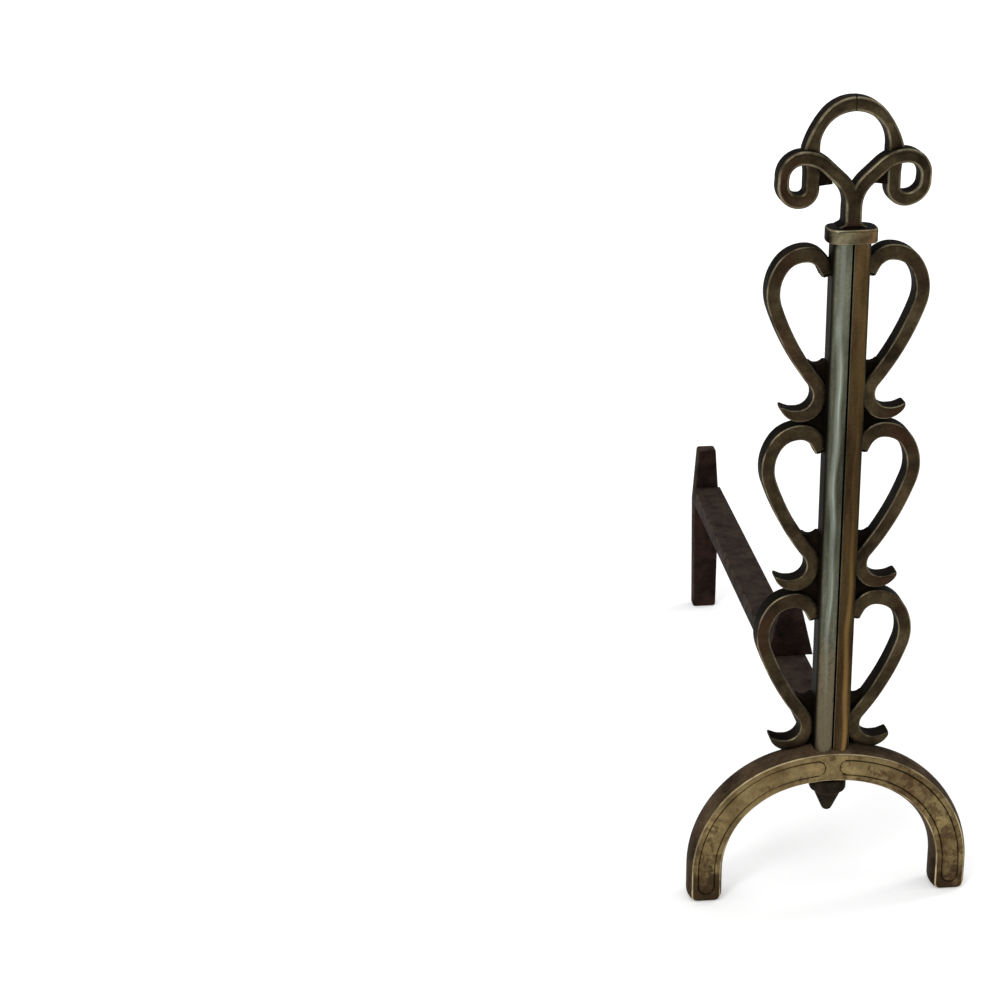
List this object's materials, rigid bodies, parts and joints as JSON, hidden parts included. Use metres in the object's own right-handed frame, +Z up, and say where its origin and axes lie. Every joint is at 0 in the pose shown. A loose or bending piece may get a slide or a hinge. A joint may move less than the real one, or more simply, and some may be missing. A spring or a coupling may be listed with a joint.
{
  "type": "andiron",
  "caption": "Fireplace andiron with an arched foot, a reeded upright, heart-shaped scrolls, a ram's-horn finial with a loop, and a flat log bar on a rear post.",
  "frame": {"origin": "middle of the footprint, on the floor: half-way across the arch and half-way from the arch's front to the rivet head behind the rear post", "axes": "+X to the right seen from the front, +Y from the front towards the fire, +Z up"},
  "size_m": [0.194, 0.5254, 0.55],
  "materials": {
    "arch_metal": "polished wrought iron with a warm, worn patina and brighter edges",
    "bright_metal": "polished wrought iron, grey-green to brown, with vertical highlights",
    "scroll_metal": "dark brown patina with light worn edges",
    "black_iron": "matte black-brown scale from the fire",
    "braze": "dull, darkened filler"
  },
  "bodies": {
    "root": {"arch_base": "arch_metal", "braze_left": "braze", "braze_right": "braze", "cap": "bright_metal", "drop_nut": "scroll_metal", "finial_left": "scroll_metal", "finial_right": "scroll_metal", "log_bar": "black_iron", "log_stop": "black_iron", "rear_post": "black_iron", "round_nut": "scroll_metal", "scroll_left_1": "scroll_metal", "scroll_left_2": "scroll_metal", "scroll_left_3": "scroll_metal", "scroll_right_1": "scroll_metal", "scroll_right_2": "scroll_metal", "scroll_right_3": "scroll_metal", "tie_rod": "scroll_metal", "upright": "bright_metal"}
  },
  "joints": []
}
